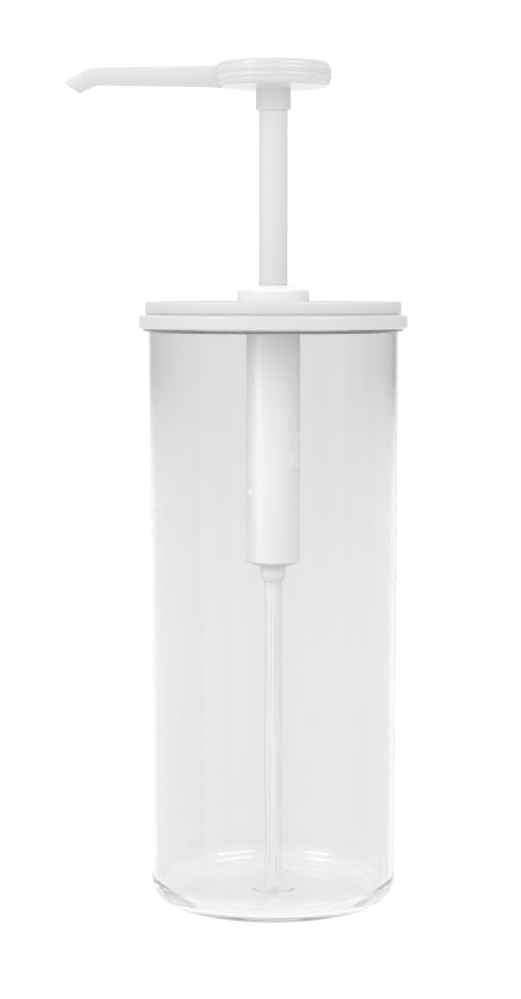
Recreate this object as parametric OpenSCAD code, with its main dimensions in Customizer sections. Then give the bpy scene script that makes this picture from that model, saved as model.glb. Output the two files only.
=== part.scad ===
// Condiment pump dispenser: a tall clear jar, a press-on lid and a hand pump with a swivelling spout.
// The origin is the middle of the jar's base, +Z runs up the stem, and the spout points along -X.

/* [Jar] */
// Outer diameter of the jar wall just under its rim
jar_d = 120; // [110:1:124]
// Height of the jar to the top of its rim
jar_h = 280; // [240:1:320]
// Thickness of the jar wall
jar_wall = 2.4; // [1.8:0.1:3.2]
// Thickness of the jar floor
jar_floor = 4.5; // [3:0.1:6]
// Outer radius of the rounded foot of the jar
foot_r = 11; // [8:0.5:14]

/* [Lid] */
// Outer diameter of the lid's lower ring
lid_ring_d = 128.8; // [128:0.1:134]
// Height of the lower ring
lid_ring_h = 6.5; // [6:0.1:9]
// Outer diameter of the lid's upper tier
lid_tier_d = 123; // [121:0.1:125]
// Height of the upper tier, from the groove to its top
lid_tier_h = 5.5; // [4.5:0.1:8]

/* [Collar nut] */
// Outer diameter at the foot of the nut
nut_d = 34.7; // [34:0.1:38]
// Height of the nut's straight side
nut_side_h = 6.4; // [5.6:0.1:8]
// Height of the dome above the side
nut_dome_h = 2.5; // [2:0.1:4]

/* [Pump] */
// Travel of the piston
stroke = 80; // [40:1:80]
// Diameter of the chamber's bore
bore_d = 22; // [20:0.5:22]
// Outer diameter of the chamber
chamber_d = 25.6; // [25:0.1:26]
// Outer diameter of the stem
stem_d = 13.5; // [12.5:0.1:13.5]
// Inner diameter of the stem
stem_bore_d = 9; // [8:0.1:9.4]
// Outer diameter of the dip tube
tube_d = 8.5; // [7.5:0.1:8.6]
// Inner diameter of the dip tube
tube_bore_d = 5.8; // [4:0.1:6]

/* [Head] */
// Diameter of the hub under the press disc
hub_d = 16.5; // [16:0.1:18]
// Height of the hub under the press disc
hub_h = 11; // [8:0.5:14]
// Height of the press disc's rim
disc_h = 11.5; // [11.5:0.1:14]
// Radius of the press disc at the grooves of its rim
disc_r = 26.9; // [26:0.1:30]

/* [Spout] */
// Distance from the stem's axis to the start of the spout's bend
spout_reach = 82; // [70:1:110]
// Outer diameter of the spout where it meets the press disc
spout_root_d = 10.2; // [9.8:0.1:11]
// Outer diameter of the spout at its bend
spout_bend_d = 8.7; // [8:0.1:9.6]
// Outer diameter of the spout at its tip
spout_tip_d = 7.6; // [7.4:0.1:8.4]
// Diameter of the passage through the spout
spout_bore_d = 5.8; // [4.5:0.1:5.8]
// Angle that the tip drops below level
bend_angle = 29; // [15:1:45]
// Angle of the cut across the tip, below level
tip_cut_angle = 34; // [20:1:45]

/* [Hidden] */

$fn = 96;
eps = 0.01;
past = 1; // how far a cutting shape runs past the face it cuts
run_fit = 0.05; // radial clearance of a running fit
loose_fit = 0.3; // radial clearance of a loose fit
edge = 0.3; // chamfer on small moulded edges

white = [0.95, 0.95, 0.94];
milky = [0.92, 0.93, 0.92];
silicone = [0.86, 0.87, 0.86];
steel = [0.72, 0.73, 0.75];

// Jar
jar_r = jar_d / 2;
jar_foot_draft = 0.9; // how much smaller the radius is at the foot
mouth_r = jar_r - jar_wall;
foot_in_r = foot_r - jar_floor / 2; // radius of the rounded corner inside the foot
bead_r = jar_r + 2.6;
bead_h = 4.5;
bead_round = 1.2;
pad_r = 10.3; // shallow round pad in the middle of the floor
pad_h = 0.6;
pad_draft = 0.2;

// Lid
gasket_t = 1;
ring_r = lid_ring_d / 2;
ring_z = jar_h - 3; // foot of the lower ring
ring_top_z = ring_z + lid_ring_h;
ring_round = 1.6;
ring_roof_z = jar_h + gasket_t; // underside of the lid over the jar rim
gasket_r = bead_r - 0.7;
gasket_in_r = mouth_r + 0.3;
skirt_in_r = bead_r + loose_fit;
plug_r = mouth_r - 0.35; // plug that enters the jar mouth
plug_in_r = plug_r - 2;
plug_z = ring_z - 0.2;
plug_lead = 0.6; // chamfer that leads the plug into the jar
groove_h = 0.9;
groove_r = lid_tier_d / 2 - 0.5;
tier_r = lid_tier_d / 2;
tier_z = ring_top_z + groove_h;
tier_top_z = tier_z + lid_tier_h;
tier_round = 1;
tier_in_r = tier_r - 2.9;
tier_step_z = ring_top_z - 0.4; // where the hollow under the tier steps in to the plug's
edge_h = 0.8;
plate_top_z = tier_top_z - edge_h; // the lid's top lies a little below its raised edge
plate_t = 2.2;
plate_z = plate_top_z - plate_t;
edge_w = 3.4; // width of the raised edge
neck_r = 15; // threaded neck of the chamber
neck_hole_r = neck_r + loose_fit;

// Pump chamber
bore_r = bore_d / 2;
chamber_r = chamber_d / 2;
flange_r = 18.5;
flange_t = 1.8;
chamber_gasket_t = 0.9;
chamber_gasket_in_r = neck_r + 0.4;
flange_top_z = plate_z - chamber_gasket_t;
flange_z = flange_top_z - flange_t;
neck_h = 5.2; // height of the neck above the lid
neck_top_z = plate_top_z + neck_h;
chamber_l = 129.7;
chamber_z = neck_top_z - chamber_l;
chamber_edge = 1; // chamfer on the chamber's foot
neck_edge = 0.6; // chamfer on the neck's mouth
vent_r = 1; // lets air into the jar from above the piston
vent_z = neck_top_z - 13;

// Guide bush and nut
guide_flange_t = 1.3;
guide_flange_r = 13.2;
guide_l = 8.1;
guide_z = neck_top_z - guide_l;
nut_r = nut_d / 2;
nut_top_r = nut_r - 0.25;
nut_z = plate_top_z;
nut_side_z = nut_z + nut_side_h;
nut_round = 1;
nut_in_r = neck_r + 0.35;
nut_roof_z = neck_top_z + 0.1;
nut_top_z = nut_side_z + nut_dome_h;
stem_r = stem_d / 2;
wiper_r = 9.2;
wiper_t = 2;

// Foot valve
boss_r = 10.2;
boss_t = 1.2;
boss_edge = 0.5;
boss_z = chamber_z - boss_t;
nipple_r = 6.2;
nipple_taper_r = nipple_r - 0.2;
nipple_taper_z = boss_z - 5.3;
nipple_z = nipple_taper_z - 2.4;
nipple_end_r = 4.95;
plug_top_z = chamber_z + 6.4; // top of the foot valve body, where the spring stands
tube_r = tube_d / 2;
tube_top_z = nipple_z + 5.8;
tube_z = jar_floor + pad_h + 1.6;
foot_flow_r = 2.6;
foot_seat_z = plug_top_z - 5.8;
foot_ball_r = 4;
foot_pocket_r = 4.6;
foot_ball_lift = 2.3;
seat_gap = 0.15; // gap between a ball and its seat
foot_ball_z = ball_rest_z(foot_flow_r, foot_seat_z, foot_ball_r) + seat_gap;
cage_r = 6;
cage_z = plug_top_z - 2;
cage_roof_z = foot_ball_z + foot_ball_r + foot_ball_lift + loose_fit;
cage_roof_t = 1.8;
cage_slot_w = 3;
cage_hole_r = 1.6;
cage_slot_z = plug_top_z + 0.4;
cage_slot_top_z = cage_roof_z - 0.5;
seal_section_r = 1;
seal_z = chamber_z + 3.2;

// Piston
piston_r = bore_r - 0.4;
piston_h = 14;
piston_z = guide_z - 0.2 - piston_h;
piston_top_z = piston_z + piston_h;
spigot_r = 7.4; // centres the top of the spring
spigot_h = 3;
flow_r = 2;
seat_z = piston_z + 1.6;
ball_r = 3;
ball_pocket_r = 3.6;
ball_lift = 2.5;
ball_z = ball_rest_z(flow_r, seat_z, ball_r) + seat_gap;
socket_z = piston_z + 6;
bead_in_r = stem_r - 0.5; // inner bead of the piston, which holds the stem's groove
stem_groove_r = bead_in_r - 0.1;
bead_z = socket_z + 2.5;
bead_t = 2;
bead_play = 0.1;
ring_section_r = 1.25;
ring_in_r = bore_r - run_fit - 2 * ring_section_r;
ring_zs = [piston_z + 3.2, piston_z + 8.2];
stem_ring_section_r = 0.7;
stem_ring_z = piston_top_z - 1.7;
stem_ring_out_r = stem_r + run_fit + 2 * stem_ring_section_r;

// Spring
wire_r = 0.6;
coil_r = 8.6;
end_turns = 1.25; // closed turns at each end
end_pitch = 1.32;
turns = 14;
turn_steps = 18;
wire_sides = 6;
spring_gap = 0.05;
spring_low_z = plug_top_z + wire_r + spring_gap;
spring_high_z = piston_z - wire_r - spring_gap;

// Stem and head
stem_bore_r = stem_bore_d / 2;
stem_z = socket_z + 0.2;
hub_r = hub_d / 2;
hub_gap = 2.3; // left between the hub and the nut at the end of the stroke
hub_z = nut_top_z + stroke + hub_gap;
hub_socket_l = 8.7;
stem_top_z = hub_z + hub_socket_l;
stop_z = ball_z + ball_r + ball_lift + loose_fit;
stop_h = 3;
stop_wall = 1.1;
stop_web = 1.2;
hub_edge = 0.4;
disc_z = hub_z + hub_h;
disc_top_z = disc_z + disc_h;
rib_zs = [0, 2.7, 5.4, 9.2] * disc_h / 11.5; // heights of the rim's lower edge and its grooves
rib_rs = [-1.7, 0, 0.2, -0.1]; // their radii, from disc_r
rib_bulges = [0.8, 0.6, 0.7];
rib_steps = 8;
rim_round = 2.2; // radius of the rim's rounded top edge
rim_round_x = disc_r + rib_rs[3] - rim_round;
cavity_r = disc_r - 4.3;
cap_seat_r = disc_r - 2.8;
cap_seat_z = disc_top_z - 1.8;
disc_floor_t = 2;
boss_top_z = cap_seat_z - 0.4;
head_boss_r = 7.6;
spout_z = disc_z + 4.85;
duct_r = boss_top_z - spout_z;
bend_r = 15;
spout_start = 20;
spout_root_at = disc_r; // where the spout's root diameter is measured
spout_slope = (spout_root_d - spout_bend_d) / 2 / (spout_reach - spout_root_at);
spout_start_r = spout_root_d / 2 + spout_slope * (spout_root_at - spout_start);
tip_len = 16;
tip_lap = 0.3;
tip_step = 0.02;
tip_top_x = -spout_reach - 17.1; // upper end of the slanted cut
tip_top_z = spout_z - 3.1;
bend_x = -spout_reach;
bend_z = spout_z - bend_r;
cap_r = cap_seat_r - 0.1;
cap_edge_z = disc_top_z - 0.1;
cap_rise = 0.8;
cap_lip_r = cavity_r - 0.15;
cap_lip_t = 1.4;
cap_lip_z = cap_seat_z - 2.6;
cap_slot_w = 2 * (duct_r + loose_fit); // gap in the lip where the duct passes

// Points along an arc, by angle in degrees
function arc(x, y, r, from, to, steps = 8) =
    [for (i = [0:steps]) let (a = from + (to - from) * i / steps) [x + r * cos(a), y + r * sin(a)]];

// Height of a ball's centre when it rests on a 45 degree seat that opens from radius flow at height z
function ball_rest_z(flow, z, r) = z - flow + r * sqrt(2);

// Radius of the jar's wall at a height, with its slight taper
function wall_r(top_r, z) = top_r - jar_foot_draft * (jar_h - z) / jar_h;

// Points of one bulging rib between two grooves
function rib(i) = [for (s = [0:rib_steps - 1]) let (t = s / rib_steps)
    [disc_r + rib_rs[i] + (rib_rs[i + 1] - rib_rs[i]) * t + rib_bulges[i] * sin(180 * t),
    disc_z + rib_zs[i] + (rib_zs[i + 1] - rib_zs[i]) * t]];

// Height of the spring's wire after t turns: closed end turns and an even pitch between them
function coil_z(t) =
    let (free = turns - 2 * end_turns,
        low = spring_low_z + end_turns * end_pitch,
        high = spring_high_z - end_turns * end_pitch)
    t < end_turns ? spring_low_z + t * end_pitch
    : t > turns - end_turns ? spring_high_z - (turns - t) * end_pitch
    : low + (high - low) * (t - end_turns) / free;

// One corner of the wire's section after t turns
function wire_point(t, side) =
    let (a = 360 * side / wire_sides, r = coil_r + wire_r * cos(a))
    [r * cos(360 * t), r * sin(360 * t), coil_z(t) + wire_r * sin(a)];

// A ring with a rectangular section
module flat_ring(outer, inner, z, h) {
    translate([0, 0, z]) difference() {
        cylinder(r = outer, h = h);
        translate([0, 0, -past]) cylinder(r = inner, h = h + 2 * past);
    }
}

// A ring with a round section
module round_ring(inner, section, z) {
    translate([0, 0, z]) rotate_extrude() translate([inner + section, 0]) circle(r = section, $fn = 32);
}

// A cylinder that cuts from z up to top, past one or both ends
module cut(r, z, top, below = 0, above = 0) {
    translate([0, 0, z - below]) cylinder(r = r, h = top - z + below + above);
}

// A 45 degree valve seat and the pocket above it
module seat_cut(flow, z, pocket, top) {
    translate([0, 0, z]) cylinder(r1 = flow, r2 = pocket, h = pocket - flow);
    cut(pocket, z + pocket - flow - eps, top);
}

module jar() {
    out_x = wall_r(jar_r, foot_r) - foot_r;
    in_z = jar_floor + foot_in_r;
    in_x = wall_r(mouth_r, in_z) - foot_in_r;
    bead_z0 = jar_h - bead_h;
    color([0.85, 0.9, 0.92, 0.35]) rotate_extrude() polygon(concat(
        [[0, 0]],
        arc(out_x, foot_r, foot_r, -90, 0, 12),
        [[wall_r(jar_r, bead_z0), bead_z0]],
        arc(bead_r - bead_round, bead_z0 + bead_round, bead_round, -90, 0, 5),
        arc(bead_r - bead_round, jar_h - bead_round, bead_round, 0, 90, 5),
        [[mouth_r, jar_h]],
        arc(in_x, in_z, foot_in_r, 0, -90, 12),
        [[pad_r, jar_floor], [pad_r - pad_draft, jar_floor + pad_h], [0, jar_floor + pad_h]]
    ));
}

module lid() {
    color(white) rotate_extrude() polygon(concat(
        [[neck_hole_r, plate_z], [tier_in_r, plate_z], [tier_in_r, tier_step_z],
            [plug_in_r, tier_step_z], [plug_in_r, plug_z], [plug_r - plug_lead, plug_z],
            [plug_r, plug_z + plug_lead], [plug_r, ring_roof_z], [skirt_in_r, ring_roof_z],
            [skirt_in_r, ring_z + edge]],
        arc(ring_r - ring_round, ring_z + ring_round, ring_round, -90, 0),
        arc(ring_r - ring_round, ring_top_z - ring_round, ring_round, 0, 90),
        [[groove_r, ring_top_z], [groove_r, tier_z]],
        arc(tier_r - tier_round, tier_z + tier_round, tier_round, -90, 0),
        arc(tier_r - tier_round, tier_top_z - tier_round, tier_round, 0, 90),
        [[tier_r - edge_w, tier_top_z], [tier_r - edge_w - edge_h, plate_top_z],
            [neck_hole_r, plate_top_z]]
    ));
}

module lid_gasket() {
    color(silicone) flat_ring(gasket_r, gasket_in_r, jar_h, gasket_t);
}

module collar_nut() {
    dome_r = (pow(nut_top_r, 2) + pow(nut_dome_h, 2)) / (2 * nut_dome_h);
    edge_a = asin((nut_top_r - nut_round) / dome_r);
    color(white) difference() {
        rotate_extrude() polygon(concat(
            [[0, nut_z], [nut_r - edge, nut_z], [nut_r, nut_z + edge], [nut_top_r, nut_side_z - nut_round]],
            arc(nut_top_r - nut_round, nut_side_z - nut_round, nut_round, 0, 60, 5),
            arc(0, nut_top_z - dome_r, dome_r, 90 - edge_a, 90)
        ));
        cut(nut_in_r, nut_z, nut_roof_z, below = past);
        cut(wiper_r, nut_roof_z - eps, nut_roof_z + wiper_t);
        cut(stem_r + loose_fit, nut_z, nut_top_z, above = past);
    }
}

module chamber_gasket() {
    color(silicone) flat_ring(flange_r, chamber_gasket_in_r, flange_top_z, chamber_gasket_t);
}

module stem_wiper() {
    color(silicone) flat_ring(wiper_r, stem_r + run_fit, nut_roof_z, wiper_t);
}

module stem_guide() {
    color(white) difference() {
        union() {
            cut(bore_r, guide_z, neck_top_z);
            cut(guide_flange_r, neck_top_z - guide_flange_t, neck_top_z);
        }
        cut(stem_r + run_fit, guide_z, neck_top_z, past, past);
    }
}

module pump_chamber() {
    color(white) difference() {
        rotate_extrude() polygon([
            [0, chamber_z], [chamber_r - chamber_edge, chamber_z], [chamber_r, chamber_z + chamber_edge],
            [chamber_r, flange_z], [flange_r, flange_z], [flange_r, flange_top_z],
            [neck_r, flange_top_z], [neck_r, neck_top_z - neck_edge], [neck_r - neck_edge, neck_top_z],
            [0, neck_top_z]
        ]);
        cut(bore_r, chamber_z, neck_top_z, past, past);
        cut(guide_flange_r, neck_top_z - guide_flange_t, neck_top_z, above = past);
        translate([0, 0, vent_z]) rotate([-90, 0, 0]) cylinder(r = vent_r, h = flange_r);
    }
}

module foot_valve_body() {
    color(white) difference() {
        rotate_extrude() polygon([
            [0, nipple_z], [nipple_end_r, nipple_z], [nipple_taper_r, nipple_taper_z], [nipple_r, boss_z],
            [boss_r - boss_edge, boss_z], [boss_r, boss_z + boss_edge], [boss_r, chamber_z],
            [bore_r, chamber_z], [bore_r, plug_top_z], [0, plug_top_z]
        ]);
        cut(tube_r, nipple_z, tube_top_z, below = past);
        cut(foot_flow_r, tube_top_z - past, foot_seat_z + eps);
        seat_cut(foot_flow_r, foot_seat_z, foot_pocket_r, cage_z + eps);
        cut(cage_r, cage_z, plug_top_z, above = past);
        flat_ring(bore_r + past, bore_r - 2 * seal_section_r, seal_z - seal_section_r, 2 * seal_section_r);
    }
}

module foot_seal() {
    color(silicone) round_ring(bore_r - 2 * seal_section_r, seal_section_r, seal_z);
}

module foot_cage() {
    color(white) difference() {
        cut(cage_r, cage_z, cage_roof_z + cage_roof_t);
        cut(foot_pocket_r, cage_z, cage_roof_z, below = past);
        cut(cage_hole_r, cage_roof_z, cage_roof_z + cage_roof_t, past, past);
        for (a = [0, 90]) rotate([0, 0, a]) translate([-cage_r - past, -cage_slot_w / 2, cage_slot_z])
            cube([2 * (cage_r + past), cage_slot_w, cage_slot_top_z - cage_slot_z]);
    }
}

module foot_ball() {
    color(steel) translate([0, 0, foot_ball_z]) sphere(r = foot_ball_r);
}

module return_spring() {
    rings = turns * turn_steps;
    last = rings * wire_sides;
    points = [for (i = [0:rings]) for (s = [0:wire_sides - 1]) wire_point(i / turn_steps, s)];
    sides = [for (i = [0:rings - 1]) for (s = [0:wire_sides - 1]) let (n = (s + 1) % wire_sides)
        [i * wire_sides + s, (i + 1) * wire_sides + s, (i + 1) * wire_sides + n, i * wire_sides + n]];
    ends = [[for (s = [0:wire_sides - 1]) s], [for (s = [wire_sides - 1:-1:0]) last + s]];
    color(steel) polyhedron(points = points, faces = concat(sides, ends));
}

module dip_tube() {
    color(milky) flat_ring(tube_r, tube_bore_d / 2, tube_z, tube_top_z - tube_z);
}

module piston() {
    color(white) difference() {
        union() {
            cut(piston_r, piston_z, piston_top_z);
            cut(spigot_r, piston_z - spigot_h, piston_z + past);
        }
        cut(flow_r, piston_z - spigot_h, seat_z + eps, below = past);
        seat_cut(flow_r, seat_z, ball_pocket_r, socket_z + eps);
        cut(stem_r + run_fit, socket_z, bead_z);
        cut(bead_in_r, bead_z - eps, bead_z + bead_t + eps);
        cut(stem_r + run_fit, bead_z + bead_t, piston_top_z, above = past);
        for (z = ring_zs)
            flat_ring(piston_r + past, ring_in_r, z - ring_section_r, 2 * ring_section_r);
        cut(stem_ring_out_r, stem_ring_z - stem_ring_section_r, stem_ring_z + stem_ring_section_r);
    }
}

module piston_rings() {
    color(silicone) for (z = ring_zs) round_ring(ring_in_r, ring_section_r, z);
}

module stem_ring() {
    color(silicone) round_ring(stem_r + run_fit, stem_ring_section_r, stem_ring_z);
}

module discharge_ball() {
    color(steel) translate([0, 0, ball_z]) sphere(r = ball_r);
}

module ball_stop() {
    color(white) {
        flat_ring(stem_bore_r, stem_bore_r - stop_wall, stop_z, stop_h);
        intersection() {
            cut(stem_bore_r - stop_wall / 2, stop_z, stop_z + stop_h / 2);
            for (a = [0, 90]) rotate([0, 0, a]) translate([-stem_bore_r, -stop_web / 2, stop_z])
                cube([2 * stem_bore_r, stop_web, stop_h / 2]);
        }
    }
}

module pump_stem() {
    color(white) difference() {
        cut(stem_r, stem_z, stem_top_z);
        cut(stem_bore_r, stem_z, stem_top_z, past, past);
        flat_ring(stem_r + past, stem_groove_r, bead_z - bead_play, bead_t + 2 * bead_play);
    }
}

// The spout's straight run, bend and tip, drawn with given radii at its start, bend and tip.
// The tip starts a little before the bend ends and is a hair wider there, so that the two join.
module spout_run(start_x, start_r, mid_r, end_r, length) {
    translate([-start_x, 0, spout_z]) rotate([0, -90, 0])
        cylinder(r1 = start_r, r2 = mid_r, h = spout_reach - start_x);
    translate([bend_x, 0, bend_z]) rotate([90, 0, 0]) rotate([0, 0, 90])
        rotate_extrude(angle = bend_angle) translate([bend_r, 0]) circle(r = mid_r);
    translate([bend_x, 0, bend_z]) rotate([0, -bend_angle, 0]) translate([tip_lap, 0, bend_r])
        rotate([0, -90, 0]) cylinder(r1 = mid_r + tip_step, r2 = end_r, h = length);
}

module pump_head() {
    color(white) difference() {
        union() {
            rotate_extrude() polygon([
                [0, hub_z], [hub_r - hub_edge, hub_z], [hub_r, hub_z + hub_edge], [hub_r, disc_z + past],
                [head_boss_r, disc_z + past], [head_boss_r, boss_top_z], [0, boss_top_z]
            ]);
            rotate_extrude() polygon(concat(
                [[0, disc_z]], rib(0), rib(1), rib(2),
                arc(rim_round_x, disc_top_z - rim_round, rim_round, 0, 80),
                [[cap_seat_r, disc_top_z], [cap_seat_r, cap_seat_z], [cavity_r, cap_seat_z],
                    [cavity_r, disc_z + disc_floor_t], [0, disc_z + disc_floor_t]]
            ));
            translate([0, 0, spout_z]) rotate([0, -90, 0]) cylinder(r = duct_r, h = cavity_r + past);
            spout_run(cavity_r + past, spout_start_r, spout_bend_d / 2, spout_tip_d / 2, tip_len);
        }
        cut(stem_r, hub_z, stem_top_z, below = past);
        cut(stem_bore_r, stem_top_z - past, spout_z + spout_bore_d / 2);
        spout_run(0, spout_bore_d / 2, spout_bore_d / 2, spout_bore_d / 2, tip_len + past);
        translate([tip_top_x, 0, tip_top_z]) rotate([0, tip_cut_angle, 0])
            translate([-tip_len, -tip_len, -2 * tip_len]) cube([4 * tip_len, 2 * tip_len, 2 * tip_len]);
    }
}

module head_cap() {
    dome_r = (pow(cap_r, 2) + pow(cap_rise, 2)) / (2 * cap_rise);
    half_a = asin(cap_r / dome_r);
    color(white) difference() {
        rotate_extrude() polygon(concat(
            [[0, cap_seat_z], [cap_lip_r - cap_lip_t, cap_seat_z], [cap_lip_r - cap_lip_t, cap_lip_z],
                [cap_lip_r - edge, cap_lip_z], [cap_lip_r, cap_lip_z + edge],
                [cap_lip_r, cap_seat_z], [cap_r, cap_seat_z]],
            arc(0, cap_edge_z + cap_rise - dome_r, dome_r, 90 - half_a, 90)
        ));
        translate([-cap_r - past, -cap_slot_w / 2, cap_lip_z - past])
            cube([cap_r, cap_slot_w, cap_seat_z - cap_lip_z + past - eps]);
    }
}

jar();
lid();
lid_gasket();
collar_nut();
chamber_gasket();
stem_wiper();
stem_guide();
pump_chamber();
foot_valve_body();
foot_seal();
foot_cage();
foot_ball();
return_spring();
dip_tube();
piston();
piston_rings();
stem_ring();
discharge_ball();
ball_stop();
pump_stem();
pump_head();
head_cap();
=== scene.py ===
import math

import bmesh
import bpy
from mathutils import Matrix, Vector


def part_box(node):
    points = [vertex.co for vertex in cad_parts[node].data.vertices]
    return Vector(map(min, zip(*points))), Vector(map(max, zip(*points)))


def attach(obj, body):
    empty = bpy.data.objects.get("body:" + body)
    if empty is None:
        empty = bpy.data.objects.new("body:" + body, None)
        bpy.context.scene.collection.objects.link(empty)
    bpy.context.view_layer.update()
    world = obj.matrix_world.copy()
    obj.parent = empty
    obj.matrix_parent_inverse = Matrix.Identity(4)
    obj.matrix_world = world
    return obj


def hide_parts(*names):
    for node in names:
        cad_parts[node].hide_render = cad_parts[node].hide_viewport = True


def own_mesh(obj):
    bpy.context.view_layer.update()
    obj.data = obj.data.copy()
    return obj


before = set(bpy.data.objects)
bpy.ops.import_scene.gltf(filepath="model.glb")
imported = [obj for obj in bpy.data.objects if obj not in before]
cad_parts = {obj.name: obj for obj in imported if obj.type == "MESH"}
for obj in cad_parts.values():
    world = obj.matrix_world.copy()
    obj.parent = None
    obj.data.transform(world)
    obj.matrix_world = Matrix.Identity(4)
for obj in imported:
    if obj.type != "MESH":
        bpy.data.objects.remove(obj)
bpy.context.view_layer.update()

MM = 0.001  # outlines are in millimetres, and Blender is in metres
SHARP = math.radians(32)  # edges over this angle are kept crisp
STRAIGHT = math.radians(89)  # a corner with half its angle over this is left unrounded
EDGE_SHARE = 0.49  # the most of an edge that the rounding of one corner takes
POLE_R = 1e-6  # an outline point nearer the axis than this is a pole, in millimetres
MERGE = 1e-7  # vertices nearer than this become one, in metres
MIX_A, MIX_B, MIX_RESULT = 6, 7, 2  # sockets of the mix node when it blends colours

CAP_LIP = 2.6  # depth of the press cap's lip, in millimetres

BACKDROP_EDGE = math.radians(11), math.radians(30)  # where the backdrop starts and ends fading
BACKDROP_WHITE, LEFT_GREY, RIGHT_GREY, CEILING = 1.02, 0.54, 0.4, 1.05
CEILING_EDGE = 0.02, 0.5  # slope at which the ceiling starts and is full
FRONT_EDGE = math.radians(80), math.radians(120)  # where the front fill starts and is full
FRONT_FILL = 1.05, 0.75  # its strength at the left and at the right
FLOOR_RADIUS = 60  # metres
FLOOR_GAP = 0.0002  # the floor lies this far under the jar
FLOOR_FADE = 1.4, 7.5  # metres from the object
NEAR_ALBEDO, NEAR_GLOW = 0.15, 0.88  # near the object the floor is a dull grey that glows
NEAR_MOTTLE = 0.015  # how much darker the floor's dark patches are
LIGHT_BOUNCES = 128  # light is led a long way inside the jar's thick base

CAMERA_AT = -0.0061, -1.152, 0.2953
CAMERA_DOWN = 4.99  # degrees below level
LENS, SENSOR = 86.5, 36  # millimetres


# ---------------------------------------------------------------- frame sizes

def low(node):
    """Height of a CAD node's foot, in millimetres."""
    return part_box(node)[0].z / MM


def high(node):
    """Height of a CAD node's top, in millimetres."""
    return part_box(node)[1].z / MM


def radius(node):
    """Outer radius of a round CAD node, in millimetres."""
    return max(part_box(node)[1].x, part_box(node)[1].y) / MM


# ---------------------------------------------------------------- mesh helpers

def corner(before, point, after, rounding, steps):
    """Points of the arc that rounds one corner of an outline."""
    p, a, b = (Vector(q[:2]) for q in (point, before, after))
    to_a, to_b = (a - p).normalized(), (b - p).normalized()
    half = math.acos(max(-1, min(1, to_a.dot(to_b)))) / 2
    if half > STRAIGHT:
        return [tuple(p)]
    back = min(rounding / math.tan(half), EDGE_SHARE * (a - p).length, EDGE_SHARE * (b - p).length)
    r = back * math.tan(half)
    centre = p + (to_a + to_b).normalized() * r / math.sin(half)
    start, end = p + to_a * back - centre, p + to_b * back - centre
    turn = start.angle_signed(end)
    spins = (Matrix.Rotation(-turn * i / steps, 2) for i in range(steps + 1))
    return [tuple(centre + spin @ start) for spin in spins]


def rounded(points, steps=5):
    """A closed outline, in which (r, z, rounding) is a rounded corner and (r, z) is a sharp one."""
    outline = []
    for i, point in enumerate(points):
        if len(point) == 3:
            outline += corner(points[i - 1], point, points[(i + 1) % len(points)], point[2], steps)
        else:
            outline.append(point)
    return outline


def arc(x, z, r, start, end, steps=8):
    """Points along an arc, from one angle in degrees to another."""
    angles = (math.radians(start + (end - start) * i / steps) for i in range(steps + 1))
    return [(x + r * math.cos(a), z + r * math.sin(a)) for a in angles]


def finish_mesh(name, bm):
    """Turns a bmesh into a smooth-shaded object."""
    bmesh.ops.remove_doubles(bm, verts=bm.verts, dist=MERGE)
    bmesh.ops.recalc_face_normals(bm, faces=bm.faces)
    mesh = bpy.data.meshes.new(name)
    bm.to_mesh(mesh)
    bm.free()
    shade(mesh)
    piece = bpy.data.objects.new(name, mesh)
    bpy.context.scene.collection.objects.link(piece)
    weighted = piece.modifiers.new("face_weighted_normals", "WEIGHTED_NORMAL")
    weighted.keep_sharp = True
    return piece


def shade(mesh):
    """Shades a mesh smooth, with its sharp edges kept crisp."""
    mesh.polygons.foreach_set("use_smooth", [True] * len(mesh.polygons))
    mesh.set_sharp_from_angle(angle=SHARP)


def bridge(bm, rings):
    """Faces between neighbouring rings of points. A ring of one point is a pole."""
    for a, b in rings:
        count = max(len(a), len(b))
        for i in range(count):
            j = (i + 1) % count
            quad = [a[i % len(a)], a[j % len(a)], b[j % len(b)], b[i % len(b)]]
            corners = list(dict.fromkeys(quad))
            if len(corners) > 2:
                bm.faces.new(corners)


def lathe(name, outline, around):
    """A solid turned about Z from a closed outline of (radius, height) points."""
    bm = bmesh.new()
    turns = [2 * math.pi * i / around for i in range(around)]
    rings = []
    for r, z in outline:
        if r < POLE_R:
            rings.append([bm.verts.new((0, 0, z * MM))])
        else:
            rings.append([bm.verts.new((r * math.cos(a) * MM, r * math.sin(a) * MM, z * MM)) for a in turns])
    bridge(bm, zip(rings, rings[1:] + rings[:1]))
    return finish_mesh(name, bm)


def sweep(name, stations, around):
    """A closed round bar through stations (centre, direction, radius), in millimetres, in the XZ plane."""
    bm = bmesh.new()
    rings = []
    for centre, direction, r in stations:
        side, up = Vector((0, 1, 0)), Vector(direction).normalized().cross(Vector((0, 1, 0)))
        angles = (2 * math.pi * (i + 0.5) / around for i in range(around))
        rings.append([bm.verts.new((Vector(centre) + r * (math.cos(a) * side + math.sin(a) * up)) * MM)
                      for a in angles])
    bridge(bm, zip(rings, rings[1:]))
    for ring in (rings[0], rings[-1]):
        bm.faces.new(ring)
    return finish_mesh(name, bm)


def combine(piece, tool, operation):
    """Joins tool to piece, or cuts it out, and removes the tool."""
    modifier = piece.modifiers.new(operation.lower(), "BOOLEAN")
    modifier.operation = operation
    modifier.solver = "EXACT"
    modifier.object = tool
    bpy.context.view_layer.update()
    depsgraph = bpy.context.evaluated_depsgraph_get()
    result = bpy.data.meshes.new_from_object(piece.evaluated_get(depsgraph), depsgraph=depsgraph)
    piece.modifiers.remove(modifier)
    piece.data = result
    shade(result)
    bpy.data.objects.remove(tool)


# ---------------------------------------------------------------- material helpers

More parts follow.
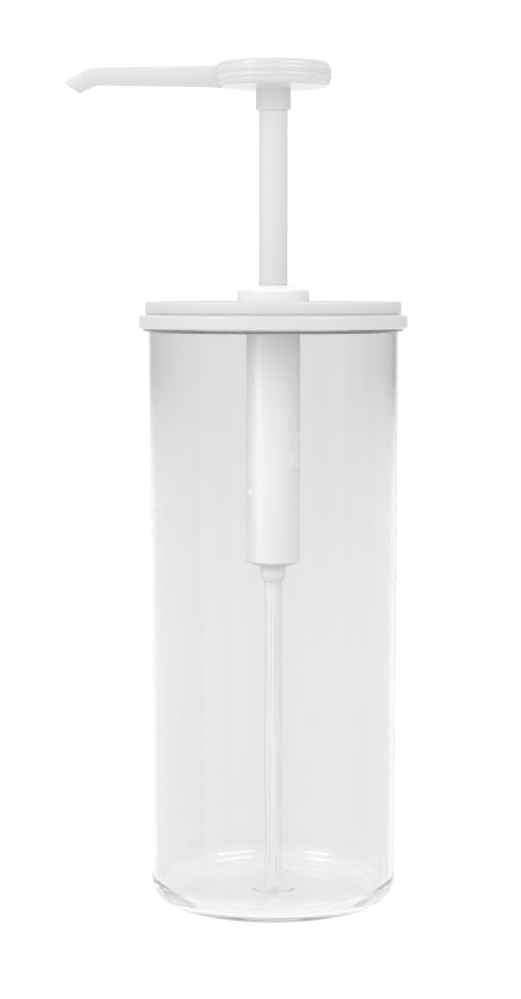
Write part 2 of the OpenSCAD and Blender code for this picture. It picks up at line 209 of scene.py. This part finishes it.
def add(tree, kind, inputs=None, **settings):
    """Adds a node. Inputs are values, or sockets of other nodes to link."""
    node = tree.nodes.new(kind)
    for key, value in settings.items():
        setattr(node, key, value)
    for key, value in (inputs or {}).items():
        if isinstance(value, bpy.types.NodeSocket):
            tree.links.new(value, node.inputs[key])
        else:
            node.inputs[key].default_value = value
    return node


def stretched(tree, stretch):
    """The piece's own coordinates, in metres, scaled along each axis."""
    coords = add(tree, "ShaderNodeTexCoord").outputs["Object"]
    return add(tree, "ShaderNodeMapping", {"Vector": coords, "Scale": stretch}).outputs["Vector"]


def noise(tree, scale, detail, stretch=(1, 1, 1)):
    return add(tree, "ShaderNodeTexNoise", {"Vector": stretched(tree, stretch), "Scale": scale,
               "Detail": detail}).outputs["Fac"]


def remap(tree, value, from_low, from_high, to_low, to_high):
    """A value taken from one range to another along a straight line, and clamped."""
    return add(tree, "ShaderNodeMapRange", {"Value": value, "From Min": from_low, "From Max": from_high,
               "To Min": to_low, "To Max": to_high}).outputs["Result"]


def ease(tree, value, from_low, from_high, to_low, to_high):
    """The same with a slow start and a slow end."""
    return add(tree, "ShaderNodeMapRange", {"Value": value, "From Min": from_low, "From Max": from_high,
               "To Min": to_low, "To Max": to_high}, interpolation_type="SMOOTHSTEP").outputs["Result"]


def maths(tree, operation, a, b):
    return add(tree, "ShaderNodeMath", {0: a, 1: b}, operation=operation).outputs["Value"]


def blend_colour(tree, share, a, b):
    node = add(tree, "ShaderNodeMix", {"Factor": share}, data_type="RGBA")
    for socket, value in ((node.inputs[MIX_A], a), (node.inputs[MIX_B], b)):
        if isinstance(value, bpy.types.NodeSocket):
            tree.links.new(value, socket)
        else:
            socket.default_value = (*value, 1)
    return node.outputs[MIX_RESULT]


def bump(tree, height, distance, strength, below=None):
    inputs = {"Height": height, "Distance": distance, "Strength": strength}
    if below is not None:
        inputs["Normal"] = below
    return add(tree, "ShaderNodeBump", inputs).outputs["Normal"]


def scratches(tree, scale, stretch, width):
    """A mask of sparse fine lines, 1 on a line and 0 off it."""
    lines = add(tree, "ShaderNodeTexVoronoi", {"Vector": stretched(tree, stretch), "Scale": scale},
                feature="DISTANCE_TO_EDGE").outputs["Distance"]
    fine = remap(tree, lines, 0, width, 1, 0)
    where = remap(tree, noise(tree, scale * 0.7, 1, stretch), 0.52, 0.62, 0, 1)
    return maths(tree, "MULTIPLY", fine, where)


def new_material(name, values):
    """A material with one Principled shader, whose uniform values are set on its own sockets."""
    material = bpy.data.materials.new(name)
    material.use_nodes = True
    tree = material.node_tree
    shader = tree.nodes["Principled BSDF"]
    for key, value in values.items():
        shader.inputs[key].default_value = value
    return material, tree, shader


def connect(tree, shader, **sockets):
    for key, socket in sockets.items():
        tree.links.new(socket, shader.inputs[key.replace("_", " ")])


# ---------------------------------------------------------------- materials

def moulded_white(name, light, dark, gloss, translucency=0.12, scale=0.002, rub=(1, 1, 1), shine=0.5):
    """Injection-moulded white plastic: faint clouding, a few specks, a soft grain and fine rubbing marks."""
    material, tree, shader = new_material(name, {
        "IOR": 1.5, "Subsurface Weight": translucency, "Subsurface Scale": scale,
        "Subsurface Radius": (1.0, 0.95, 0.88), "Specular IOR Level": shine})
    cloud = remap(tree, noise(tree, 14, 1), 0.3, 0.7, 0, 1)
    specks = remap(tree, noise(tree, 900, 1), 0.8, 0.84, 0, 0.25)
    colour = blend_colour(tree, cloud, light, dark)
    colour = blend_colour(tree, specks, colour, (0.5, 0.48, 0.45))
    rubbed = scratches(tree, 70, rub, 0.004)
    rough = remap(tree, noise(tree, 40, 2), 0.3, 0.7, *gloss)
    rough = maths(tree, "ADD", rough, maths(tree, "MULTIPLY", rubbed, 0.02))
    grain = bump(tree, noise(tree, 2600, 2), 0.000005, 0.3)
    connect(tree, shader, Base_Color=colour, Roughness=rough, Normal=grain)
    return material


def clear_plastic(name):
    """Clear acrylic: a faint grey colour, painted darker towards the top as painted shade and paler in the
    foot as painted light, drawn streaks down the wall, and the hairline marks of washing.
    """
    material, tree, shader = new_material(name, {
        "IOR": 1.49, "Transmission Weight": 1.0, "Specular IOR Level": 0.3})
    streaks = remap(tree, noise(tree, 70, 2, (1, 1, 0.03)), 0.35, 0.7, 0, 1)
    lower = blend_colour(tree, streaks, (0.853, 0.856, 0.853), (0.828, 0.831, 0.828))
    upper = blend_colour(tree, streaks, (0.797, 0.8, 0.797), (0.767, 0.77, 0.767))
    height = add(tree, "ShaderNodeSeparateXYZ", {"Vector": stretched(tree, (1, 1, 1))}).outputs["Z"]
    # painted shade: the grey darkens from 0.1 m up to the jar's top
    tint_and_painted_shade = blend_colour(tree, ease(tree, height, 0.1, 0.31, 0, 1), lower, upper)
    # painted light: the foot, under 16 mm, takes a paler grey
    tint_and_painted_shade = blend_colour(tree, ease(tree, height, 0.004, 0.016, 0, 1), (0.93, 0.932, 0.93), tint_and_painted_shade)
    hair = scratches(tree, 45, (1, 1, 0.35), 0.006)
    rough = remap(tree, noise(tree, 120, 3), 0.4, 0.75, 0.015, 0.05)
    rough = maths(tree, "ADD", rough, maths(tree, "MULTIPLY", hair, 0.25))
    waves = bump(tree, noise(tree, 22, 1, (1, 1, 0.05)), 0.002, 0.12)
    normal = bump(tree, hair, 0.00002, 0.3, waves)
    connect(tree, shader, Base_Color=tint_and_painted_shade, Roughness=rough, Normal=normal)
    return material


def milky_plastic(name):
    """Natural polyethylene tube: cloudy, with long extrusion lines."""
    material, tree, shader = new_material(name, {
        "IOR": 1.5, "Transmission Weight": 0.12, "Subsurface Weight": 0.4, "Subsurface Scale": 0.003,
        "Subsurface Radius": (1.0, 1.0, 0.95)})
    lines = noise(tree, 900, 2, (1, 1, 0.02))
    cloud = noise(tree, 60, 2, (1, 1, 0.3))
    colour = blend_colour(tree, remap(tree, cloud, 0.3, 0.7, 0, 1), (0.9, 0.905, 0.9), (0.86, 0.865, 0.86))
    rough = remap(tree, lines, 0.3, 0.7, 0.22, 0.4)
    connect(tree, shader, Base_Color=colour, Roughness=rough, Normal=bump(tree, lines, 0.00005, 0.4))
    return material


def soft_silicone(name):
    """Translucent silicone rubber with a dusty, matt skin."""
    material, tree, shader = new_material(name, {
        "IOR": 1.41, "Subsurface Weight": 0.4, "Subsurface Scale": 0.002, "Sheen Weight": 0.15})
    dust = noise(tree, 500, 4)
    colour = blend_colour(tree, remap(tree, dust, 0.4, 0.7, 0, 1), (0.78, 0.79, 0.78), (0.69, 0.7, 0.69))
    rough = remap(tree, dust, 0.3, 0.7, 0.42, 0.6)
    connect(tree, shader, Base_Color=colour, Roughness=rough, Normal=bump(tree, dust, 0.00004, 0.4))
    return material


def bright_steel(name, stretch, gloss):
    """Stainless steel with fine drawing or polishing marks along one direction."""
    material, tree, shader = new_material(name, {"Metallic": 1.0})
    marks = noise(tree, 1200, 3, stretch)
    cloud = remap(tree, noise(tree, 300, 2), 0.3, 0.7, 0, 1)
    colour = blend_colour(tree, cloud, (0.66, 0.66, 0.67), (0.56, 0.57, 0.58))
    rough = remap(tree, marks, 0.3, 0.7, *gloss)
    connect(tree, shader, Base_Color=colour, Roughness=rough, Normal=bump(tree, marks, 0.00002, 0.5))
    return material


HEAD_WHITE = moulded_white("white_moulding", (0.708, 0.708, 0.705), (0.703, 0.703, 0.7), (0.2, 0.25),
                           shine=0.4)
# NUT_WHITE: the same white plastic as the head's, made much lighter as painted light falling on the nut's
# dome
NUT_WHITE = moulded_white("white_nut", (0.915, 0.915, 0.911), (0.91, 0.91, 0.906), (0.27, 0.32))
# STEM_WHITE: the same white plastic as the head's, made a little lighter as painted light on the stem under
# the disc
STEM_WHITE = moulded_white("white_stem", (0.745, 0.745, 0.742), (0.74, 0.74, 0.737), (0.22, 0.28),
                           rub=(1, 1, 0.04))
CHAMBER_WHITE = moulded_white("white_cylinder", (0.85, 0.85, 0.846), (0.84, 0.84, 0.835), (0.24, 0.28),
                              translucency=0.1, scale=0.004, rub=(1, 1, 0.1), shine=0.9)
JAR_CLEAR = clear_plastic("clear_acrylic")
TUBE_MILKY = milky_plastic("milky_tube")
SEAL_SILICONE = soft_silicone("silicone_seal")
WIRE_STEEL = bright_steel("drawn_wire", (1, 1, 0.05), (0.2, 0.38))
BALL_STEEL = bright_steel("polished_ball", (1, 1, 1), (0.08, 0.16))


# ---------------------------------------------------------------- pieces

def place(piece, body, node, material):
    """The piece moves with a body, stands for a CAD node, and takes a material."""
    piece.data.materials.clear()
    piece.data.materials.append(material)
    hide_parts(node)
    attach(piece, body)


def make_jar():
    wall, floor, foot_round, taper, pad_r, pad_top = 2.4, 4.5, 11.0, 0.9, 10.3, 5.1
    bead_h, bead_out, inner_round = 4.5, 2.6, 8.75
    top, bead_r = high("jar"), radius("jar")
    wall_r = bead_r - bead_out
    piece = lathe("jar_body", rounded([
        (0, 0), (wall_r - taper, 0, foot_round), (wall_r, top - bead_h, 0.4),
        (bead_r, top - bead_h, 1.2), (bead_r, top, 1.2), (wall_r - wall, top, 0.4),
        (wall_r - wall - taper, floor, inner_round), (pad_r, floor, 0.15), (pad_r - 0.2, pad_top, 0.2),
        (0, pad_top)], steps=12), around=384)
    place(piece, "jar", "jar", JAR_CLEAR)
    piece.visible_shadow = False  # the lights reach the pump straight through the clear wall


def make_lid():
    top, foot, ring_r = high("lid"), low("lid"), radius("lid")
    ring_top, groove_top, roof = top - 6.4, top - 5.5, top - 8.9
    tier_r, groove_r, skirt_r = ring_r - 2.9, ring_r - 3.4, ring_r - 1.5
    plug_r, plug_in_r, cavity_r, hole_r = ring_r - 7.15, ring_r - 9.15, ring_r - 5.8, 15.3
    plate_top, plate, edge_w = top - 0.8, top - 3.0, 3.4
    piece = lathe("lid_cover", rounded([
        (hole_r, plate, 0.2), (cavity_r, plate, 0.8), (cavity_r, ring_top - 0.4, 0.3),
        (plug_in_r, ring_top - 0.4, 0.3), (plug_in_r, foot, 0.3), (plug_r - 0.6, foot, 0.3),
        (plug_r, foot + 0.6, 0.3), (plug_r, roof, 0.2), (skirt_r, roof, 0.2), (skirt_r, foot + 0.5, 0.3),
        (ring_r - 1.4, foot + 0.2, 0.1), (ring_r, foot + 0.2, 1.5), (ring_r, ring_top, 1.6),
        (groove_r, ring_top, 0.25), (groove_r, groove_top, 0.25), (tier_r, groove_top, 0.9),
        (tier_r, top, 1.0), (tier_r - edge_w, top, 0.4), (tier_r - edge_w - 0.8, plate_top, 0.6),
        (hole_r, plate_top, 0.2)], steps=7), around=320)
    place(piece, "pump_body", "lid", HEAD_WHITE)


def make_nut():
    foot, foot_r, roof = low("collar_nut"), radius("collar_nut"), low("stem_wiper")
    side_top, dome_h, side_r, edge = foot + 6.4, 2.5, foot_r - 0.25, 1.0
    bore_r, hollow_r, wiper_r, wiper_t = 7.05, 15.35, radius("stem_wiper"), 2.0
    dome_r = (side_r ** 2 + dome_h ** 2) / (2 * dome_h)
    centre_z = side_top + dome_h - dome_r
    crown = arc(0, centre_z, dome_r, 90 - math.degrees(math.asin((side_r - edge) / dome_r)),
                90 - math.degrees(math.asin(bore_r / dome_r)), 14)
    piece = lathe("domed_nut", rounded([
        (foot_r, foot, 0.3), (side_r, side_top - edge), *arc(side_r - edge, side_top - edge, edge, 8, 62, 6),
        *crown[1:-1], (*crown[-1], 0.3), (bore_r, roof + wiper_t), (wiper_r, roof + wiper_t), (wiper_r, roof),
        (hollow_r, roof, 0.3), (hollow_r, foot, 0.2)]), around=224)
    place(piece, "pump_body", "collar_nut", NUT_WHITE)


def make_chamber():
    foot, top, flange_r = low("pump_chamber"), high("pump_chamber"), radius("pump_chamber")
    out_r, bore_r, neck_r, flange_top, flange_t = 12.8, 11.0, 15.0, low("chamber_gasket"), 1.8
    guide_r, guide_t = radius("stem_guide"), 1.3
    piece = lathe("pump_cylinder", rounded([
        (bore_r, foot, 0.2), (out_r, foot, 1.1), (out_r, flange_top - flange_t, 0.8),
        (flange_r, flange_top - flange_t, 0.3), (flange_r, flange_top, 0.3), (neck_r, flange_top, 0.3),
        (neck_r, top, 0.5), (guide_r, top, 0.1), (guide_r, top - guide_t), (bore_r, top - guide_t, 0.1)],
        steps=6), around=192)
    vent_z, vent_r = top - 13.0, 1.0
    drill = sweep("vent_drill", [((0, 0, 0), (0, 0, 1), vent_r), ((0, 0, flange_r), (0, 0, 1), vent_r)], 32)
    drill.matrix_world = Matrix.Translation((0, 0, vent_z * MM)) @ Matrix.Rotation(-math.pi / 2, 4, "X")
    combine(piece, drill, "DIFFERENCE")
    place(piece, "pump_body", "pump_chamber", CHAMBER_WHITE)


def make_foot_valve():
    foot, top, bore_r = low("foot_valve_body"), high("foot_valve_body"), radius("foot_valve_body")
    chamber_z, boss_r, boss_t, nipple_r, end_r = low("pump_chamber"), 10.2, 1.2, 6.2, 4.95
    boss_z = chamber_z - boss_t
    tube_r, tube_top, flow_r = radius("dip_tube"), high("dip_tube"), 2.6
    seat_z, pocket_r, cage_z, cage_r = top - 5.8, 4.6, low("foot_cage"), radius("foot_cage")
    groove_r, groove_low, groove_high = bore_r - 2.0, low("foot_seal"), high("foot_seal")
    piece = lathe("foot_valve_fitting", rounded([
        (tube_r, foot, 0.1), (end_r, foot, 0.3), (nipple_r - 0.2, boss_z - 5.3, 0.6),
        (nipple_r, boss_z, 0.5), (boss_r, boss_z, 0.5), (boss_r, chamber_z), (bore_r, chamber_z),
        (bore_r, groove_low), (groove_r, groove_low), (groove_r, groove_high), (bore_r, groove_high),
        (bore_r, top, 0.3), (cage_r, top, 0.1), (cage_r, cage_z), (pocket_r, cage_z),
        (pocket_r, seat_z + pocket_r - flow_r), (flow_r, seat_z), (flow_r, tube_top), (tube_r, tube_top)]),
        around=160)
    place(piece, "pump_body", "foot_valve_body", CHAMBER_WHITE)


def make_dip_tube():
    foot, top, out_r, bore_r = low("dip_tube"), high("dip_tube"), radius("dip_tube"), 2.9
    piece = lathe("suction_tube", rounded([
        (bore_r, foot, 0.15), (out_r, foot, 0.15), (out_r, top, 0.1), (bore_r, top, 0.1)]), around=128)
    place(piece, "pump_body", "dip_tube", TUBE_MILKY)


def make_stem():
    foot, top, out_r, bore_r = low("pump_stem"), high("pump_stem"), radius("pump_stem"), 4.5
    groove_low, groove_high, groove_r = foot + 2.2, foot + 4.4, out_r - 0.6
    piece = lathe("stem_tube", rounded([
        (bore_r, foot, 0.2), (out_r, foot, 0.3), (out_r, groove_low), (groove_r, groove_low),
        (groove_r, groove_high), (out_r, groove_high), (out_r, top, 0.1), (bore_r, top, 0.1)]), around=160)
    place(piece, "head", "pump_stem", STEM_WHITE)


def rim_rib(r, z, next_r, next_z, bulge, steps=9):
    """Points up one bulging rib of the press disc's rim, from one groove to just before the next."""
    shares = [i / steps for i in range(steps)]
    return [(r + (next_r - r) * t + bulge * math.sin(math.pi * t), z + (next_z - z) * t) for t in shares]


def spout_path(root_x, root_r, mid_r, end_r, reach, axis_z, length, flare=0.0):
    """Stations (centre, direction, radius) down the spout: straight run, bend and drooping tip.

    The flare is extra radius at the root, which fades out just past the press disc's edge.
    """
    flare_end, flare_fade = 27, 1.6
    bend_r, bend, straight, curve, tip = 15.0, math.radians(29), 60, 16, 8
    stations = []
    for i in range(straight + 1):
        x = root_x + (reach - root_x) * i / straight
        swell = flare * math.exp(-max(0, x - flare_end) / flare_fade)
        stations.append(((-x, 0, axis_z), (-1, 0, 0), root_r + (mid_r - root_r) * i / straight + swell))
    for i in range(1, curve + 1):
        a = bend * i / curve
        centre = (-reach - bend_r * math.sin(a), 0, axis_z - bend_r * (1 - math.cos(a)))
        stations.append((centre, (-math.cos(a), 0, -math.sin(a)), mid_r))
    end, down = Vector(stations[-1][0]), Vector(stations[-1][1])
    for i in range(1, tip + 1):
        centre = tuple(end + down * length * i / tip)
        stations.append((centre, tuple(down), mid_r + (end_r - mid_r) * i / tip))
    return stations


def make_head():
    """The hub, press disc and spout are one moulding, hollow under the cap and drilled for the sauce."""
    foot, top = low("pump_head"), high("pump_head")
    disc_z, disc_r, seat_z, disc_floor = foot + 11, 26.9, low("head_cap") + CAP_LIP, 2.0
    hub_r, stem_r, stem_top, bore_r = 8.25, radius("pump_stem"), high("pump_stem"), 4.5
    cavity_r, seat_r, boss_r, boss_top, edge_r = 22.6, 24.1, 7.6, seat_z - 0.4, 2.2
    spout_z, reach, tip = disc_z + 4.85, 82.0, 16.0
    well_top = spout_z + 3.1
    rim_zs = [disc_z + z for z in (0, 2.7, 5.4, 9.2)]
    rim_rs = [disc_r + r for r in (-1.7, 0, 0.2, -0.1)]
    rim = [p for i, bulge in enumerate((0.8, 0.6, 0.7))
           for p in rim_rib(rim_rs[i], rim_zs[i], rim_rs[i + 1], rim_zs[i + 1], bulge)]
    rim += arc(rim_rs[3] - edge_r, top - edge_r, edge_r, 0, 82, 12)
    piece = lathe("press_head", rounded([
        (stem_r, foot, 0.15), (hub_r, foot, 0.5), (hub_r, disc_z, 0.9), *rim,
        (seat_r, top, 0.3), (seat_r, seat_z), (cavity_r, seat_z),
        (cavity_r, disc_z + disc_floor, 0.5), (boss_r, disc_z + disc_floor, 0.5),
        (boss_r, boss_top, 0.3), (0, boss_top), (0, well_top), (bore_r, well_top), (bore_r, stem_top),
        (stem_r, stem_top)], steps=6), around=320)
    duct_r = boss_top - spout_z - 0.4
    duct = sweep("duct", [((x, 0, spout_z), (-1, 0, 0), duct_r) for x in (-bore_r - 1, -cavity_r - 1)], 96)
    combine(piece, duct, "UNION")
    outer = sweep("spout_outer", spout_path(24.5, 5.15, 4.35, 3.8, reach, spout_z, tip, flare=0.35), 96)
    cut_spout_tip(outer, reach, spout_z)
    combine(piece, outer, "UNION")
    passage = sweep("passage", spout_path(0.0, 2.9, 2.9, 2.9, reach, spout_z, tip + 2), 64)
    combine(piece, passage, "DIFFERENCE")
    place(piece, "head", "pump_head", HEAD_WHITE)


def cut_spout_tip(spout, reach, spout_z):
    """Cuts the spout's end on the slant."""
    top_x, top_z, slant, block = -reach - 17.1, spout_z - 3.1, math.radians(34), 30.0
    cutter = sweep("slant", [((0, 0, z), (0, 0, 1), block) for z in (-block, 0)], 64)
    cutter.matrix_world = Matrix.Translation((top_x * MM, 0, top_z * MM)) @ Matrix.Rotation(slant, 4, "Y")
    combine(spout, cutter, "DIFFERENCE")


def make_cap():
    top, foot, cap_r = high("head_cap"), low("head_cap"), radius("head_cap")
    seat_z, rise, cavity_r, lip_t = foot + CAP_LIP, 0.8, 22.6, 1.4
    lip_r = cavity_r - 0.15
    dome_r = (cap_r ** 2 + rise ** 2) / (2 * rise)
    dome = arc(0, top - dome_r, dome_r, 90 - math.degrees(math.asin(cap_r / dome_r)), 90, 16)
    piece = lathe("press_cap", rounded([
        (0, seat_z), (lip_r - lip_t, seat_z, 0.2), (lip_r - lip_t, foot, 0.2), (lip_r, foot, 0.3),
        (lip_r, seat_z), (cap_r, seat_z, 0.1), (*dome[0], 0.35), *dome[1:]]), around=288)
    place(piece, "head", "head_cap", HEAD_WHITE)


def make_spring():
    """Round wire wound with closed end turns, built at one length; the real spring shortens as the piston
    goes down.
    """
    wire_r, coil_r, turns, end_turns, end_pitch, around, steps = 0.6, 8.6, 14, 1.25, 1.32, 12, 48
    end_inset = 0.53  # the wire's centre starts and ends this far inside the CAD spring's ends
    foot, top = low("return_spring") + end_inset, high("return_spring") - end_inset
    pitch = (top - foot - 2 * end_turns * end_pitch) / (turns - 2 * end_turns)
    bm = bmesh.new()
    rings = []
    for i in range(turns * steps + 1):
        t = i / steps
        closed = min(t, end_turns) + max(0, t - turns + end_turns)
        z = foot + closed * end_pitch + (t - closed) * pitch
        turn = Matrix.Rotation(2 * math.pi * t, 3, "Z")
        angles = (2 * math.pi * s / around for s in range(around))
        rings.append([bm.verts.new((turn @ Vector((coil_r + wire_r * math.cos(a), 0, 0))
                                    + Vector((0, 0, z + wire_r * math.sin(a)))) * MM) for a in angles])
    bridge(bm, zip(rings, rings[1:]))
    for ring in (rings[0], rings[-1]):
        bm.faces.new(ring)
    piece = finish_mesh("coil_spring", bm)
    place(piece, "pump_body", "return_spring", WIRE_STEEL)
    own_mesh(piece)


def finish_cad_nodes():
    """The small inner parts keep their CAD shape and take a full material."""
    looks = {"silicone": SEAL_SILICONE, "white_plastic": CHAMBER_WHITE, "ball_steel": BALL_STEEL}
    slots = {"stem_guide": "white_plastic", "foot_cage": "white_plastic", "piston": "white_plastic",
             "ball_stop": "white_plastic", "lid_gasket": "silicone", "chamber_gasket": "silicone",
             "stem_wiper": "silicone", "foot_seal": "silicone", "piston_rings": "silicone",
             "stem_ring": "silicone", "foot_ball": "ball_steel", "discharge_ball": "ball_steel"}
    for node, slot in slots.items():
        for place_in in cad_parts[node].material_slots:
            place_in.material = looks[slot]


# ---------------------------------------------------------------- studio

def backdrop_tone(tree, x, y):
    """White straight behind the object, greyer to both sides, and bright again round the front."""
    angle = maths(tree, "ARCTAN2", x, y)
    right = ease(tree, angle, *BACKDROP_EDGE, BACKDROP_WHITE, RIGHT_GREY)
    left = ease(tree, maths(tree, "MULTIPLY", angle, -1), *BACKDROP_EDGE, BACKDROP_WHITE, LEFT_GREY)
    behind = maths(tree, "MINIMUM", right, left)
    across = add(tree, "ShaderNodeMath", {0: angle}, operation="SINE").outputs["Value"]
    front = ease(tree, across, -0.9, 0.9, *FRONT_FILL)
    forward = ease(tree, maths(tree, "ABSOLUTE", angle, 0), *FRONT_EDGE, 0, 1)
    return maths(tree, "ADD", maths(tree, "MULTIPLY", behind, maths(tree, "SUBTRACT", 1.0, forward)),
                 maths(tree, "MULTIPLY", front, forward))


def make_floor():
    """A wide floor that glows white near the object and runs into the backdrop far away."""
    bm = bmesh.new()
    bmesh.ops.create_circle(bm, cap_ends=True, radius=FLOOR_RADIUS, segments=96)
    mesh = bpy.data.meshes.new("floor")
    bm.to_mesh(mesh)
    bm.free()
    floor = bpy.data.objects.new("floor", mesh)
    bpy.context.scene.collection.objects.link(floor)
    floor.location.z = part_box("jar")[0].z - FLOOR_GAP
    material, tree, shader = new_material("pale_floor", {"Roughness": 0.6, "Specular IOR Level": 0.2})
    paper = remap(tree, noise(tree, 3, 4), 0.3, 0.7, 0, 1)
    near = blend_colour(tree, paper, (NEAR_ALBEDO,) * 3, (NEAR_ALBEDO - NEAR_MOTTLE,) * 3)
    axes = add(tree, "ShaderNodeSeparateXYZ", {"Vector": stretched(tree, (1, 1, 0))})
    x, y = axes.outputs["X"], axes.outputs["Y"]
    span = add(tree, "ShaderNodeVectorMath", {0: stretched(tree, (1, 1, 0))}, operation="LENGTH")
    far = ease(tree, span.outputs["Value"], *FLOOR_FADE, 0, 1)
    connect(tree, shader, Base_Color=blend_colour(tree, far, near, (0, 0, 0)))
    glow = maths(tree, "MULTIPLY", far, backdrop_tone(tree, x, y))
    lift = maths(tree, "MULTIPLY", maths(tree, "SUBTRACT", 1.0, far), NEAR_GLOW)
    shader.inputs["Emission Color"].default_value = (1, 1, 1, 1)
    tree.links.new(maths(tree, "ADD", glow, lift), shader.inputs["Emission Strength"])
    mesh.materials.append(material)


def make_sky():
    """The backdrop, with a broad pale ceiling over it."""
    world = bpy.data.worlds.new("studio")
    bpy.context.scene.world = world
    world.use_nodes = True
    tree = world.node_tree
    direction = add(tree, "ShaderNodeTexCoord").outputs["Generated"]
    axes = add(tree, "ShaderNodeSeparateXYZ", {"Vector": direction})
    tone = backdrop_tone(tree, axes.outputs["X"], axes.outputs["Y"])
    overhead = ease(tree, axes.outputs["Z"], *CEILING_EDGE, 0, 1)
    colour = blend_colour(tree, overhead, tone, (CEILING,) * 3)
    tree.links.new(colour, tree.nodes["Background"].inputs["Color"])


def make_light(name, at, aim, size, power, only=(), gloss=True, diffuse=True):
    """A rectangular lamp. It may light only some pieces, and give no gloss or no diffuse light."""
    light = bpy.data.lights.new(name, "AREA")
    light.shape = "RECTANGLE"
    light.size, light.size_y = size
    light.energy = power
    lamp = bpy.data.objects.new(name, light)
    bpy.context.scene.collection.objects.link(lamp)
    lamp.location = at
    lamp.rotation_euler = (Vector(aim) - Vector(at)).to_track_quat("-Z", "Y").to_euler()
    lamp.visible_camera, lamp.visible_glossy, lamp.visible_diffuse = False, gloss, diffuse
    lamp.visible_transmission = gloss
    if only:
        receivers = bpy.data.collections.new(name + "_receivers")
        for piece in only:
            receivers.objects.link(bpy.data.objects[piece])
        lamp.light_linking.receiver_collection = receivers


def make_studio_lights():
    """Softboxes at both sides and above, and two lamps for the highlights alone."""
    left, right = (-1.3, -1.5, 1.35), (1.3, -1.4, 1.3)
    make_light("left_softbox", left, (0, 0, 0.3), (1.2, 1.0), 3)
    make_light("right_softbox", right, (0, 0, 0.3), (1.0, 0.9), 1.2)
    make_light("left_gloss", (-1.585, -1.195, 1.35), (0, 0, 0.2), (1.0, 0.6), 14, diffuse=False)
    make_light("right_gloss", right, (0, 0, 0.2), (1.6, 0.6), 19, diffuse=False)
    make_light("top_softbox", (-0.7, -0.2, 1.45), (0, 0, 0.35), (0.6, 0.6), 1)


def make_pump_lights():
    """Lamps that light the chamber, the foot valve and the tube alone."""
    inner = "pump_cylinder", "foot_valve_fitting", "suction_tube"
    make_light("pump_strip", (-1.37, -0.55, 0.2), (0, 0, 0.2), (0.35, 0.5), 1.5, inner)
    make_light("pump_shine", (-1.37, -0.55, 0.25), (0, 0, 0.25), (0.45, 0.5), 4, inner, diffuse=False)
    make_light("pump_fill_front", (-0.08, -0.24, 0.31), (0, 0, 0.27), (0.1, 0.05), 0.14, inner, gloss=False)
    make_light("pump_fill_right", (1.25, -0.85, 0.4), (0, 0, 0.25), (0.6, 0.34), 2.2, inner, gloss=False)
    neck_z = 0.262  # 15 mm under the lid
    for side, x, y, power in (("left", -0.06, -0.055, 0.011), ("right", 0.035, -0.07, 0.012)):
        make_light("neck_fill_" + side, (x, y, neck_z), (0, 0, neck_z), (0.05, 0.02), power, inner,
                   gloss=False)


def make_camera():
    """A camera a little above the lid, that looks slightly down."""
    data = bpy.data.cameras.new("camera")
    data.lens, data.sensor_width, data.clip_end = LENS, SENSOR, 100
    camera = bpy.data.objects.new("camera", data)
    bpy.context.scene.collection.objects.link(camera)
    camera.location = CAMERA_AT
    camera.rotation_euler = (math.radians(90 - CAMERA_DOWN), 0, 0)
    bpy.context.scene.camera = camera


def set_light_paths():
    """Plain sRGB tones, and enough bounces for the light inside the jar's base."""
    bpy.context.scene.view_settings.view_transform = "Standard"
    paths = bpy.context.scene.cycles
    paths.max_bounces = paths.glossy_bounces = paths.transmission_bounces = LIGHT_BOUNCES


make_camera()
make_sky()
make_floor()
make_studio_lights()
set_light_paths()

make_jar()
make_lid()
make_nut()
make_chamber()
make_foot_valve()
make_dip_tube()
make_stem()
make_head()
make_cap()
make_spring()
finish_cad_nodes()
make_pump_lights()
